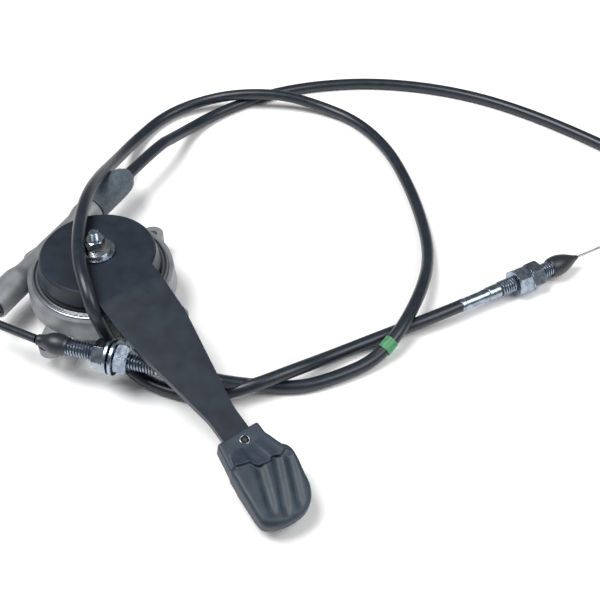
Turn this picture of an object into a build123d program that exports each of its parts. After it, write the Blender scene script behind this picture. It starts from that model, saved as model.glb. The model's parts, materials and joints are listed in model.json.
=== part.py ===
"""Hand throttle lever control for a machine: friction hub in a die-cast housing, lever with a thumb grip,
a throttle cable from the housing and a second, loose cable with threaded ends.

Frame: origin on the lever's pivot axis in the plane of the four mounting feet, +Z up along the pivot,
+Y along the cable duct at the side of the housing. Millimetres.
"""
import os
from math import cos, degrees, pi, radians, sin, sqrt, tan

from build123d import *

# ---- housing -------------------------------------------------------------------------------------
WALL = 3.8               # beside the drum, at the rim
DRAFT = 1.1              # how much wider the wall is at its foot
FLOOR_Z = 14.0           # underside of the floor
FLOOR_T = 3.0
WALL_FOOT_Z = 18.0
RIM_Z = 31.4
LUG_COUNT = 4
LUG_PITCH_R = 53.5
LUG_R = 7.2
LUG_FOOT_Z = 12.0        # underside of the lugs, which bolt to the console
LUG_TOP_Z = 18.5
LUG_HOLE_R = 3.3         # clearance for M6
DUCT_X = -45.5
DUCT_Z = 23.0
DUCT_R = 7.6
DUCT_BORE_R = 2.6
WINDOW_W = 4.0           # slot that lets the wire pass from the drum into the duct
BOSS_R = 9.4             # both duct bosses at their roots
NOSE_R = 7.2             # outlet spigot, under its rubber sleeve
OUTLET_ROOT_Y = 50.0
OUTLET_TIP_Y = 80.0
PLUG_END_Y = -49.0
PLUG_ROOT_Y = -26.0
SEAT_R = 5.0             # seat for the conduit ferrule and for the duct plug
SEAT_DEPTH = 14.0
CAVITY_GAP = 0.6         # between the drum and the wall around it
HUB_BOSS_R = 12.0        # centre boss that holds the bush
COVER_R = 14.4           # plastic cover over the foot of the pivot
COVER_T = 2.0

# ---- pivot, bush and drum ------------------------------------------------------------------------
SHAFT_R = 6.0
STUD_R = 3.0             # M6 end of the shaft
SHAFT_FOOT_Z = 5.0
SHAFT_FLATS = 9.0        # across the two flats that drive the drum and the lever
STUD_OVER = 5.3          # stud above its nut
BUSH_WALL = 2.0
BUSH_FLANGE_R = 10.5
BUSH_FLANGE_T = 1.0
RUNNING = 0.04           # radial running clearance of the shaft in its bush
LOCATE = 0.02            # radial clearance of pieces that sit still on the shaft
GAP = 0.3                # clearance between pieces that move past each other
CLIP_T = 1.2
THRUST_T = 1.0
DRUM_R = 39.8
DRUM_PITCH_R = 38.6      # line of the inner wire in the groove
DRUM_T = 8.0
DRUM_HUB_R = 12.0
DRUM_WEB_T = 4.0
GROOVE_W = 2.4
NIPPLE_R = 2.6
NIPPLE_L = 6.4
NIPPLE_PITCH_R = 36.4
WRAP = 36.0              # degrees of the drum that the wire wraps at rest
SLEEVE_R = 9.0           # spacer between the drum and the lever
STOP_R = 2.0             # stop pin in the housing floor
STOP_PITCH_R = 26.0
STOP_ANGLE = 60.0
SWING = 27.0             # lever travel in degrees

# ---- friction stack ------------------------------------------------------------------------------
PLATE_T = 3.1            # machined ring that closes the housing
PLATE_SEAT = 1.0         # width of the ledge that the ring sits on
PLATE_BORE_R = 14.0
PLATE_RECESS = 1.0       # how deep the ring sits in the rim
LINING_T = 3.45
LINING_GAP = 0.05        # between the lining and the ring
LINING_R = 35.6
LINING_BORE_R = 27.0
HUB_R = 34.8
HUB_SKIRT_R = 36.9
HUB_H = 10.0
HUB_TOP_T = 4.0
HUB_WALL = 4.4
DIMPLE_R = 1.1
DIMPLE_AT = (11.8, -5.0)  # on the hub, along and across the lever
CLAMP_WASHER_R = 11.0
CLAMP_WASHER_T = 1.6
SPRING_R = 8.6
SPRING_T = 0.9
SPRING_H = 2.2           # height of one disc spring
NUT6_AF = 10.0
NUT6_T = 6.0
M6_CLEAR = 0.2

# ---- lever and grip ------------------------------------------------------------------------------
LEVER_ANGLE = -25.3      # about +Z from +X
ARM_T = 4.0
ARM_BEND = 40.0          # where the arm starts to fall
ARM_SLOPE = 12.5         # degrees
ARM_HALF_ROOT = 22.6
ARM_HALF_MID = 19.2
ARM_HALF_NECK = 11.6
ARM_HALF_TONGUE = 8.2
ARM_MID = 68.0           # distances from the pivot, seen from above
ARM_NECK = 112.0
ARM_SHOULDER = 132.0
ARM_END = 172.0
GRIP_START = 109.0       # distances along the falling arm, from its bend
SOCKET_END = 140.0
SOCKET_HALF = 13.2
GRIP_OVER = 3.4          # moulding above the arm's top face
GRIP_UNDER = 4.0         # moulding below the arm's bottom face
PAD_OVER = 7.0
GRIP_FIT = 0.05
GRIP_LOW_Z = 9.6         # underside of the thumb pad
SCREW_R = 3.0
SCREW_AT = 115.0
SCREW_SIDE = 1.5

# ---- cables --------------------------------------------------------------------------------------
CONDUIT_R = 4.0
WIRE_R = 0.75
M10_R = 5.0
NUT10_AF = 16.0
NUT10_T = 8.0
NUT10_BACK_T = 10.0
WASHER10_R = 10.6
WASHER10_T = 2.0
HUB_BORE_R = 1.2
WIRE_BORE_R = 0.85
FERRULE_R = 4.0
BARREL_R = 4.5
BOOT_R = 6.9
BULB_R = 6.5
GUIDE_R = 2.6
GUIDE_L = 44.0
END_NIPPLE_R = 3.2
END_NIPPLE_L = 7.0
SLEEVE_A_L = 41.0        # rubber sleeve over the outlet spigot
SLEEVE_A_R = 9.6
SLEEVE_A_START_Y = 51.0
RIGHT_FERRULE_L = 20.6   # the right-hand threaded end, in order from the conduit
RIGHT_BARREL_L = 8.7
RIGHT_THREAD_L = 44.0
RIGHT_NUT_AT = 41.0
RIGHT_WIRE_L = 36.0      # bare wire beyond the boot
LEFT_FERRULE_L = 11.0    # the left-hand threaded end, in order from the conduit
LEFT_BARREL_L = 1.0
LEFT_THREAD_L = 58.0
LEFT_NUTS_AT = (28.4, 42.4)
LEFT_WASHERS_AT = (36.6, 39.9)
LEFT_WIRE_L = 16.0       # bare wire beyond the guide tube
END_FERRULE_L = 18.0     # the far end of cable A
END_COLLAR_L = 4.0
END_WIRE_L = 34.0
WIRE_SEAT_L = 4.0        # wire inside the last ferrule at rest
BOOT_GRIP_L = 4.0        # how far a boot comes over its thread
RIGHT_BOOT_L = 19.0
LEFT_BOOT_L = 15.5
MARK_L = 8.0             # coloured identification sleeve
MARK_R = 4.5
MARK_BORE_R = 4.15
MARK_RUN = 32            # the sleeve sits on the run that ends at this point of cable B's route
TAIL_L = 18.0            # conduit between the coil and the last ferrule

COIL_TURN_R = 48.0       # middle of the turns
COIL_HALF = 8.2          # half of the coil's width and height
COIL_CENTRE = (297.2, 337.0)

# Route of cable A from the ferrule in the housing outlet to the first turn of its coil.
ROUTE_A = [(-45.5, 70.0, 23.0), (-45.5, 128.0, 23.0), (-47.6, 152.0, 14.5), (-49.5, 174.0, 6.8),
           (-46.0, 197.0, 4.0), (-36.0, 220.0, 4.0), (-20.0, 246.5, 4.0), (6.0, 273.0, 4.0),
           (42.0, 297.0, 4.0), (84.0, 312.5, 4.0), (127.8, 319.3, 4.0), (171.2, 316.8, 4.0),
           (213.2, 309.0, 4.0), (250.0, 299.3, 4.0), (279.0, 292.0, 4.1)]

# Route of cable B from its right-hand threaded end, past the housing and over the hub, round the wide
# loop and back under the lever to its left-hand threaded end.
ROUTE_B = [(199.2, 95.6, 9.3), (186.0, 75.6, 9.3), (165.0, 53.5, 4.4), (145.7, 24.2, 5.5),
           (134.2, -1.1, 12.9), (117.5, -24.5, 12.9), (95.0, -37.6, 4.6), (75.0, -42.4, 4.2),
           (58.5, -43.0, 4.6), (44.5, -41.0, 7.8), (34.6, -39.4, 18.0), (30.2, -39.2, 31.0),
           (26.6, -40.6, 46.6), (16.8, -32.6, 55.8), (2.8, -19.9, 57.5), (-13.4, 1.6, 56.8),
           (-31.0, 31.5, 53.0), (-48.0, 64.7, 39.0), (-66.5, 105.5, 17.5), (-78.8, 146.1, 4.5),
           (-77.1, 183.3, 4.2), (-59.6, 207.9, 8.0), (-35.1, 223.7, 13.0), (-4.6, 238.8, 13.0),
           (24.7, 247.6, 6.5), (56.0, 246.1, 4.0), (90.1, 226.8, 4.0), (119.4, 197.1, 4.0),
           (144.4, 165.1, 4.0), (163.5, 132.3, 6.5), (173.8, 97.0, 13.2), (176.6, 56.5, 13.2),
           (170.0, 33.8, 5.0), (156.7, 14.2, 4.0), (141.2, -3.6, 4.0), (121.5, -14.0, 5.2),
           (109.0, -26.5, 14.0), (97.4, -37.7, 23.9), (81.8, -41.4, 24.5)]

RIGHT_END = Vector(*ROUTE_B[0]) - Vector(*ROUTE_B[1])     # way that the right-hand threaded end points
LEFT_END = Vector(*ROUTE_B[-1]) - Vector(*ROUTE_B[-2])    # way that the left-hand threaded end points
GUIDE_WAY = Vector(-0.9962, 0.0170, -0.0857)    # the guide tube swivels a little in its boot
TAIL_ANGLE = 28.0                               # where cable A leaves its coil, about the coil's centre

os.makedirs("parts", exist_ok=True)


def save(piece, name):
    """Label one finished piece and write its STEP file."""
    piece.part.label = name
    export_step(piece.part, f"parts/{name}.step")


def ring(plane, start, length, outer, inner=0.0):
    """Add a disc, or a ring, that starts at a height above a plane."""
    with BuildSketch(plane.offset(start)) as section:
        Circle(outer)
        if inner:
            Circle(inner, mode=Mode.SUBTRACT)
    extrude(section.sketch, amount=length)


def turned(outline):
    """Add a body of revolution about Z from (radius, height) points."""
    with BuildSketch(Plane.XZ) as section:
        with BuildLine():
            Polyline(*outline, close=True)
        make_face()
    revolve(section.sketch, axis=Axis.Z)


def hexagon(plane, start, length, across_flats, bore, turned_by=0.0):
    """Add a hexagon nut."""
    with BuildSketch(plane.offset(start)) as section:
        RegularPolygon(across_flats / 2, 6, major_radius=False, rotation=turned_by)
        Circle(bore, mode=Mode.SUBTRACT)
    extrude(section.sketch, amount=length)


def flats_sketch(clearance):
    """Circle with two flats, the driving section of the shaft."""
    Circle(SHAFT_R + clearance)
    Rectangle(SHAFT_FLATS + 2 * clearance, 3 * SHAFT_R, mode=Mode.INTERSECT)


def polar(radius, angle):
    """Point at a radius and an angle in degrees about the pivot."""
    return (radius * cos(radians(angle)), radius * sin(radians(angle)))


def along(origin, way):
    """Plane at a point, facing a way."""
    return Plane(origin=origin, z_dir=way)


turn = radians(LEVER_ANGLE)
plan_plane = Plane(origin=(0, 0, 0), x_dir=(cos(turn), sin(turn), 0), z_dir=(0, 0, 1))
side_plane = Plane(origin=(0, 0, 0), x_dir=(cos(turn), sin(turn), 0), z_dir=(sin(turn), -cos(turn), 0))

cavity_r = DRUM_R + CAVITY_GAP
floor_top = FLOOR_Z + FLOOR_T
bush_r = SHAFT_R + BUSH_WALL
bush_top = floor_top + BUSH_FLANGE_T
drum_z = bush_top + THRUST_T
drum_top = drum_z + DRUM_T
plate_z = RIM_Z - PLATE_RECESS
plate_top = plate_z + PLATE_T
plate_r = cavity_r + PLATE_SEAT
rim_r = cavity_r + WALL
body_r = rim_r + DRAFT
skirt_z = plate_top + LINING_GAP + LINING_T
hub_top_z = skirt_z + HUB_H
spring_z = hub_top_z + CLAMP_WASHER_T
nut_z = spring_z + SPRING_H + SPRING_T
stud_tip_z = nut_z + NUT6_T + STUD_OVER
boss_foot = FLOOR_Z - 6.0
shoulder_z = hub_top_z - 0.4

# ---- housing -------------------------------------------------------------------------------------
duct_plane = Plane(origin=(DUCT_X, 0, DUCT_Z), x_dir=(1, 0, 0), z_dir=(0, 0, 1))
with BuildPart() as housing:
    turned([(0, FLOOR_Z), (body_r - 6.0, FLOOR_Z), (body_r, WALL_FOOT_Z), (rim_r, RIM_Z), (0, RIM_Z)])
    ring(Plane.XY, boss_foot, FLOOR_Z - boss_foot, HUB_BOSS_R)
    for number in range(LUG_COUNT):
        way = number * 360 / LUG_COUNT
        lug_plane = Plane(origin=(0, 0, 0), x_dir=(*polar(1.0, way), 0), z_dir=(0, 0, 1))
        with BuildSketch(lug_plane.offset(LUG_FOOT_Z)):
            with Locations((LUG_PITCH_R, 0)):
                Circle(LUG_R)
            with Locations((LUG_PITCH_R - 24.0, 0)):
                Circle(LUG_R + 7.4)
            make_hull()
        extrude(amount=LUG_TOP_Z - LUG_FOOT_Z)
    with BuildSketch(Plane.XY.offset(FLOOR_Z)):
        with Locations((-LUG_PITCH_R, 0)):
            Circle(LUG_R)
        with Locations((DUCT_X - 2.0, OUTLET_ROOT_Y - 8.0)):
            Circle(LUG_R - 3.0)
        make_hull()
    extrude(amount=LUG_TOP_Z - FLOOR_Z)
    with BuildSketch(duct_plane):
        with BuildLine():
            Polyline((0, PLUG_END_Y), (BOSS_R, PLUG_END_Y), (BOSS_R, PLUG_ROOT_Y), (DUCT_R, PLUG_ROOT_Y + 8.0),
                     (DUCT_R, OUTLET_ROOT_Y - 16.0), (BOSS_R, OUTLET_ROOT_Y - 8.0), (BOSS_R, OUTLET_ROOT_Y),
                     (NOSE_R, OUTLET_ROOT_Y), (NOSE_R, OUTLET_TIP_Y), (0, OUTLET_TIP_Y), close=True)
        make_face()
    revolve(axis=Axis((DUCT_X, 0, DUCT_Z), (0, 1, 0)))
    with BuildSketch(Plane.XY.offset(FLOOR_Z)):
        with BuildLine():
            Polyline((DUCT_X, 5.0), (DUCT_X, OUTLET_ROOT_Y), (-22.0, 38.0), (-30.0, 20.0), close=True)
        make_face()
    extrude(amount=DUCT_Z + 3.0 - FLOOR_Z)
    # hollow: drum chamber, ring seat, bush bore, duct bore, seats, wire window and mounting holes
    with BuildSketch(Plane.XY.offset(floor_top)):
        Circle(cavity_r)
    extrude(amount=RIM_Z, mode=Mode.SUBTRACT)
    with BuildSketch(Plane.XY.offset(plate_z)):
        Circle(plate_r + LOCATE)
    extrude(amount=RIM_Z, mode=Mode.SUBTRACT)
    with BuildSketch(Plane.XY):
        Circle(bush_r)
    extrude(amount=RIM_Z, mode=Mode.SUBTRACT)
    with BuildSketch(Plane.XY):
        with PolarLocations(LUG_PITCH_R, LUG_COUNT):
            Circle(LUG_HOLE_R)
    extrude(amount=RIM_Z, mode=Mode.SUBTRACT)
    with BuildSketch(Plane(origin=(DUCT_X, PLUG_END_Y, DUCT_Z), z_dir=(0, 1, 0))):
        Circle(DUCT_BORE_R)
    extrude(amount=OUTLET_TIP_Y - PLUG_END_Y, mode=Mode.SUBTRACT)
    for mouth, way in ((OUTLET_TIP_Y, -1), (PLUG_END_Y, 1)):
        with BuildSketch(Plane(origin=(DUCT_X, mouth, DUCT_Z), z_dir=(0, way, 0))):
            Circle(SEAT_R)
        extrude(amount=SEAT_DEPTH, mode=Mode.SUBTRACT)
    with BuildSketch(Plane.XY.offset(DUCT_Z - WINDOW_W / 2)):
        with BuildLine():
            Polyline((1 - DRUM_PITCH_R, -14.0), (1 - DRUM_PITCH_R, 14.0), (DUCT_X + 3.4, OUTLET_ROOT_Y + 8.0),
                     (DUCT_X - 1.5, OUTLET_ROOT_Y + 8.0), (DUCT_X - 1.5, -30.0), (DUCT_X + 1.5, -40.0),
                     close=True)
        make_face()
    extrude(amount=WINDOW_W, mode=Mode.SUBTRACT)
    with BuildSketch(Plane.XY):
        with Locations(polar(STOP_PITCH_R, STOP_ANGLE)):
            Circle(STOP_R)
    extrude(amount=floor_top + 1.0, mode=Mode.SUBTRACT)
save(housing, "housing")

with BuildPart() as duct_plug:
    plug_plane = Plane(origin=(DUCT_X, PLUG_END_Y, DUCT_Z), z_dir=(0, -1, 0))
    ring(plug_plane, 2 - SEAT_DEPTH, SEAT_DEPTH - 2, SEAT_R)
    ring(plug_plane, 0, 2.2, BOSS_R - 1.2)
    chamfer(duct_plug.faces().sort_by(Axis.Y)[0].edges(), 0.8)
    with BuildSketch(plug_plane.offset(2.2)):
        Rectangle(1.6, 2 * BOSS_R)
    extrude(amount=-1.0, mode=Mode.SUBTRACT)
save(duct_plug, "duct_plug")

with BuildPart() as stop_pin:
    with BuildSketch(Plane.XY.offset(FLOOR_Z)):
        with Locations(polar(STOP_PITCH_R, STOP_ANGLE)):
            Circle(STOP_R)
    extrude(amount=drum_z + DRUM_T / 2 + DRUM_WEB_T / 2 - FLOOR_Z)
save(stop_pin, "stop_pin")

# ---- pivot ---------------------------------------------------------------------------------------
with BuildPart() as pivot_bush:
    ring(Plane.XY, boss_foot, floor_top - boss_foot, bush_r, SHAFT_R + RUNNING)
    ring(Plane.XY, floor_top, BUSH_FLANGE_T, BUSH_FLANGE_R, SHAFT_R + RUNNING)
save(pivot_bush, "pivot_bush")

with BuildPart() as thrust_washer:
    ring(Plane.XY, bush_top, THRUST_T, BUSH_FLANGE_R, SHAFT_R + LOCATE)
save(thrust_washer, "thrust_washer")

clip_z = boss_foot - 0.1 - CLIP_T
with BuildPart() as pivot_shaft:
    ring(Plane.XY, SHAFT_FOOT_Z, drum_z - SHAFT_FOOT_Z, SHAFT_R)
    with BuildSketch(plan_plane.offset(drum_z)):
        flats_sketch(0)
    extrude(amount=shoulder_z - drum_z)
    ring(Plane.XY, shoulder_z, stud_tip_z - shoulder_z, STUD_R)
    chamfer(pivot_shaft.faces().sort_by(Axis.Z)[-1].edges(), 0.8)
    chamfer(pivot_shaft.faces().sort_by(Axis.Z)[0].edges(), 0.8)
    with BuildSketch(Plane.XY.offset(clip_z - 0.05)):
        Circle(SHAFT_R + 1)
        Circle(SHAFT_R - 0.6, mode=Mode.SUBTRACT)
    extrude(amount=CLIP_T + 0.1, mode=Mode.SUBTRACT)
save(pivot_shaft, "pivot_shaft")

with BuildPart() as shaft_clip:
    ring(Plane.XY, clip_z, CLIP_T, SHAFT_R + 2.6, SHAFT_R - 0.55)
    with BuildSketch(Plane.XY.offset(clip_z)):
        with Locations((SHAFT_R + 1, 0)):
            Rectangle(SHAFT_R + 2, 5.0)
    extrude(amount=CLIP_T, mode=Mode.SUBTRACT)
save(shaft_clip, "shaft_clip")

with BuildPart() as bottom_cover:
    turned([(0, 0), (COVER_R - 1.0, 0), (COVER_R, 1.0), (COVER_R, FLOOR_Z - GAP),
            (HUB_BOSS_R + LOCATE, FLOOR_Z - GAP), (HUB_BOSS_R + LOCATE, COVER_T), (0, COVER_T)])
save(bottom_cover, "bottom_cover")

# ---- drum and inner wire -------------------------------------------------------------------------
groove_z = drum_z + DRUM_T / 2
groove_foot_r = DRUM_PITCH_R - WIRE_R - 0.05
nipple_angle = 180 + WRAP
web_z = groove_z - DRUM_WEB_T / 2
with BuildPart() as cable_drum:
    turned([(0, drum_z), (DRUM_HUB_R, drum_z), (DRUM_HUB_R, web_z), (DRUM_R - 8.0, web_z),
            (DRUM_R - 8.0, drum_z + GAP), (DRUM_R, drum_z + GAP), (DRUM_R, groove_z - GROOVE_W / 2),
            (groove_foot_r, groove_z - GROOVE_W / 2), (groove_foot_r, groove_z + GROOVE_W / 2),
            (DRUM_R, groove_z + GROOVE_W / 2), (DRUM_R, drum_top - GAP), (DRUM_R - 8.0, drum_top - GAP),
            (DRUM_R - 8.0, web_z + DRUM_WEB_T), (DRUM_HUB_R, web_z + DRUM_WEB_T),
            (DRUM_HUB_R, drum_top), (0, drum_top)])
    with BuildSketch(plan_plane.offset(drum_z)):
        flats_sketch(LOCATE)
    extrude(amount=DRUM_T, mode=Mode.SUBTRACT)
    with BuildSketch(Plane.XY.offset(groove_z - NIPPLE_L / 2)):
        with Locations(polar(NIPPLE_PITCH_R, nipple_angle)):
            Circle(NIPPLE_R + LOCATE)
    extrude(amount=DRUM_T, mode=Mode.SUBTRACT)
    with BuildSketch(Plane.XY.offset(drum_z)):
        travel = [polar(STOP_PITCH_R, STOP_ANGLE - step) for step in (-1.0, SWING / 2, SWING + 1.0)]
        SlotArc(ThreePointArc(*travel), 2 * (STOP_R + GAP))
    extrude(amount=DRUM_T, mode=Mode.SUBTRACT)
save(cable_drum, "cable_drum")

with BuildPart() as drum_nipple:
    with BuildSketch(Plane.XY.offset(groove_z - NIPPLE_L / 2)):
        with Locations(polar(NIPPLE_PITCH_R, nipple_angle)):
            Circle(NIPPLE_R)
    extrude(amount=NIPPLE_L)
save(drum_nipple, "drum_nipple")

wrap_start = 180.3
nipple_half = sqrt((NIPPLE_R + 0.1) ** 2 - (DRUM_PITCH_R - NIPPLE_PITCH_R) ** 2)
wrap_end = nipple_angle - degrees(nipple_half / DRUM_PITCH_R) - 0.9
with BuildPart() as wire_on_drum:
    with BuildSketch(along(Vector(-DRUM_PITCH_R, 0, groove_z), Vector(0, -1, 0))):
        Circle(WIRE_R)
    revolve(axis=Axis((0, 0, 0), (0, 0, 1)), revolution_arc=wrap_end - wrap_start)
save(wire_on_drum, "wire_on_drum")

wire_start = Vector(-DRUM_PITCH_R, 0.4, groove_z)
wire_stop = Vector(DUCT_X, OUTLET_TIP_Y - SEAT_DEPTH, DUCT_Z)
with BuildPart() as wire_in_duct:
    with BuildSketch(along(wire_start, wire_stop - wire_start)):
        Circle(WIRE_R)
    extrude(amount=(wire_stop - wire_start).length)
save(wire_in_duct, "wire_in_duct")

with BuildPart() as spacer_sleeve:
    with BuildSketch(plan_plane.offset(drum_top)):
        Circle(SLEEVE_R)
        with BuildSketch(mode=Mode.PRIVATE) as opening:
            flats_sketch(LOCATE)
        add(opening.sketch, mode=Mode.SUBTRACT)
    extrude(amount=hub_top_z - max(HUB_TOP_T, ARM_T) - GAP - drum_top)
save(spacer_sleeve, "spacer_sleeve")

# ---- friction stack ------------------------------------------------------------------------------
with BuildPart() as friction_plate:
    ring(Plane.XY, plate_z, PLATE_T, plate_r, PLATE_BORE_R)
    top_edges = friction_plate.edges().filter_by(GeomType.CIRCLE).group_by(Axis.Z)[-1]
    chamfer(top_edges.sort_by(SortBy.RADIUS)[-1], 0.6)
save(friction_plate, "friction_plate")

with BuildPart() as friction_lining:
    ring(Plane.XY, skirt_z - LINING_T, LINING_T, LINING_R, LINING_BORE_R)
save(friction_lining, "friction_lining")

# ---- lever ---------------------------------------------------------------------------------------
fall = tan(radians(ARM_SLOPE))


def arm_top(distance):
    """Height of the arm's top face at a distance from the pivot."""
    return hub_top_z - max(0.0, distance - ARM_BEND) * fall


arm_drop = ARM_T / cos(radians(ARM_SLOPE))
under_bend = ARM_BEND - ARM_T * tan(radians(ARM_SLOPE / 2))
with BuildPart() as lever:
    with BuildSketch(side_plane):
        with BuildLine():
            Polyline((0, hub_top_z), (ARM_BEND, hub_top_z), (ARM_END, arm_top(ARM_END)),
                     (ARM_END, arm_top(ARM_END) - arm_drop), (under_bend, hub_top_z - ARM_T),
                     (0, hub_top_z - ARM_T), close=True)
        make_face()
        fillet(vertices().filter_by(lambda v: abs(v.X - ARM_BEND) < 3), 22.0)
    extrude(amount=ARM_HALF_ROOT + 2, both=True)
    with BuildSketch(plan_plane):
        with BuildLine():
            Polyline((0, ARM_HALF_ROOT), (ARM_BEND + 5.0, ARM_HALF_ROOT - 2.4), (ARM_MID, ARM_HALF_MID),
                     (ARM_NECK, ARM_HALF_NECK), (ARM_SHOULDER, ARM_HALF_TONGUE), (ARM_END, ARM_HALF_TONGUE),
                     (ARM_END, -ARM_HALF_TONGUE), (ARM_SHOULDER, -ARM_HALF_TONGUE), (ARM_NECK, -ARM_HALF_NECK),
                     (ARM_MID, -ARM_HALF_MID), (ARM_BEND + 5.0, 2.4 - ARM_HALF_ROOT), (0, -ARM_HALF_ROOT),
                     close=True)
        make_face()
        fillet(vertices().filter_by(lambda v: ARM_BEND < v.X < ARM_END - 1), 40.0)
    extrude(amount=hub_top_z + 5, mode=Mode.INTERSECT)
    turned([(0, hub_top_z - HUB_TOP_T), (HUB_R - HUB_WALL, hub_top_z - HUB_TOP_T),
            (HUB_SKIRT_R - HUB_WALL, skirt_z), (HUB_SKIRT_R, skirt_z), (HUB_R + 0.25, hub_top_z - 1.2),
            (HUB_R - 1.0, hub_top_z), (0, hub_top_z)])
    with BuildSketch(plan_plane.offset(skirt_z)):
        flats_sketch(LOCATE)
    extrude(amount=20, mode=Mode.SUBTRACT)
    with BuildSketch(plan_plane.offset(hub_top_z)):
        with Locations(DIMPLE_AT):
            Circle(DIMPLE_R)
    extrude(amount=-0.6, mode=Mode.SUBTRACT)
save(lever, "lever")

slope = radians(ARM_SLOPE)
arm_length = (ARM_END - ARM_BEND) / cos(slope)
arm_plane = Plane(origin=(*polar(ARM_BEND, LEVER_ANGLE), hub_top_z),
                  x_dir=(cos(turn) * cos(slope), sin(turn) * cos(slope), -sin(slope)),
                  z_dir=(cos(turn) * sin(slope), sin(turn) * sin(slope), cos(slope)))
with BuildPart() as grip:
    with BuildSketch(arm_plane.offset(-ARM_T - GRIP_UNDER)):
        with Locations(((GRIP_START + SOCKET_END) / 2, 0)):
            RectangleRounded(SOCKET_END - GRIP_START, 2 * SOCKET_HALF, 2.5)
    extrude(amount=ARM_T + GRIP_UNDER + GRIP_OVER)
    with BuildSketch(arm_plane.offset(-ARM_T - GRIP_UNDER)):
        with BuildLine():
            Polyline((124, -14), (124, 12), (128, 20), (142, 20.2), (155, 17), (163, 10.5), (166.5, 1),
                     (165, -10), (161, -17), (150, -18.5), (136, -17), close=True)
        make_face()
        fillet(vertices(), 3.0)
    extrude(amount=ARM_T + GRIP_UNDER + PAD_OVER)
    fillet(grip.faces().sort_by(Axis(arm_plane.origin, arm_plane.z_dir))[-1].edges(), 2.4)
    with BuildSketch(Plane.XY):
        Rectangle(600, 600)
    extrude(amount=GRIP_LOW_Z, mode=Mode.SUBTRACT)
    with BuildSketch(arm_plane.offset(-ARM_T - GRIP_FIT)):
        with Locations((arm_length / 2, 0)):
            Rectangle(arm_length + 6, 2 * (ARM_HALF_TONGUE + 0.2))
    extrude(amount=ARM_T + 2 * GRIP_FIT, mode=Mode.SUBTRACT)
    with BuildSketch(arm_plane.offset(-ARM_T)):
        with Locations((SCREW_AT, SCREW_SIDE)):
            Circle(SCREW_R)
    extrude(amount=20, mode=Mode.SUBTRACT)
save(grip, "grip")

with BuildPart() as grip_screw:
    with BuildSketch(arm_plane.offset(GRIP_FIT)):
        with Locations((SCREW_AT, SCREW_SIDE)):
            Circle(SCREW_R - LOCATE)
    extrude(amount=GRIP_OVER - 0.4)
    with BuildSketch(arm_plane.offset(GRIP_OVER - 0.4)):
        with Locations((SCREW_AT, SCREW_SIDE)):
            RegularPolygon(1.3, 6, major_radius=False)
    extrude(amount=-2.0, mode=Mode.SUBTRACT)
save(grip_screw, "grip_screw")

# ---- clamp stack on the stud ---------------------------------------------------------------------
with BuildPart() as clamp_washer:
    ring(Plane.XY, hub_top_z, CLAMP_WASHER_T, CLAMP_WASHER_R, STUD_R + M6_CLEAR)
save(clamp_washer, "clamp_washer")

with BuildPart() as disc_springs:
    turned([(STUD_R + M6_CLEAR, spring_z + SPRING_H - SPRING_T), (SPRING_R, spring_z),
            (SPRING_R, spring_z + SPRING_T), (STUD_R + M6_CLEAR, spring_z + SPRING_H)])
    turned([(STUD_R + M6_CLEAR, spring_z + SPRING_H), (SPRING_R, spring_z + SPRING_T),
            (SPRING_R, spring_z + 2 * SPRING_T), (STUD_R + M6_CLEAR, spring_z + SPRING_H + SPRING_T)])
save(disc_springs, "disc_springs")

with BuildPart() as pivot_nut:
    hexagon(Plane.XY, nut_z, NUT6_T, NUT6_AF, STUD_R)
save(pivot_nut, "pivot_nut")

# ---- conduits ------------------------------------------------------------------------------------


def corner_radii(route, name):
    """Arc radius at each corner of a route: 0.45 of the shorter run over the tangent of half the turn."""
    points = [Vector(*point) for point in route]
    radii = []
    for before, here, after in zip(points, points[1:], points[2:]):
        turned_by = radians((here - before).get_angle(after - here))
        radii.append(0.45 * min((here - before).length, (after - here).length) / tan(turned_by / 2))
    print(name, "radii", [round(radius) for radius in radii])
    return radii


def conduit(route, name):
    """Straight runs joined by tangent arcs, swept with the conduit's round section."""
    with BuildPart() as tube:
        with BuildLine() as path:
            FilletPolyline(*route, radius=corner_radii(route, name))
        spine = path.wires()[0]
        with BuildSketch(Plane(origin=spine @ 0, z_dir=spine % 0)) as section:
            Circle(CONDUIT_R)
        sweep(section.sketch, path=spine)
    print(name, "length", round(spine.length, 1), "volume over section times length",
          round(tube.part.volume / (pi * CONDUIT_R ** 2 * spine.length), 4))
    save(tube, name)


conduit(ROUTE_A, "conduit_a")
conduit(ROUTE_B, "conduit_b")

coil_x, coil_y = COIL_CENTRE
with BuildPart() as coil_a:
    with BuildSketch(Plane(origin=(coil_x, coil_y, COIL_HALF), x_dir=(1, 0, 0), z_dir=(0, -1, 0))):
        with Locations((COIL_TURN_R, 0)):
            RectangleRounded(2 * COIL_HALF, 2 * COIL_HALF, CONDUIT_R)
    revolve(axis=Axis((coil_x, coil_y, 0), (0, 0, 1)))
save(coil_a, "coil_a")

# ---- fittings of cable A -------------------------------------------------------------------------
outlet = Plane(origin=(DUCT_X, OUTLET_TIP_Y, DUCT_Z), z_dir=(0, 1, 0))
conduit_start = ROUTE_A[0][1] - OUTLET_TIP_Y
with BuildPart() as outlet_ferrule:
    ring(outlet, -SEAT_DEPTH, SEAT_DEPTH + conduit_start, SEAT_R, WIRE_BORE_R)
    ring(outlet, conduit_start, -conduit_start, SEAT_R, CONDUIT_R + LOCATE)
save(outlet_ferrule, "outlet_ferrule")

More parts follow.
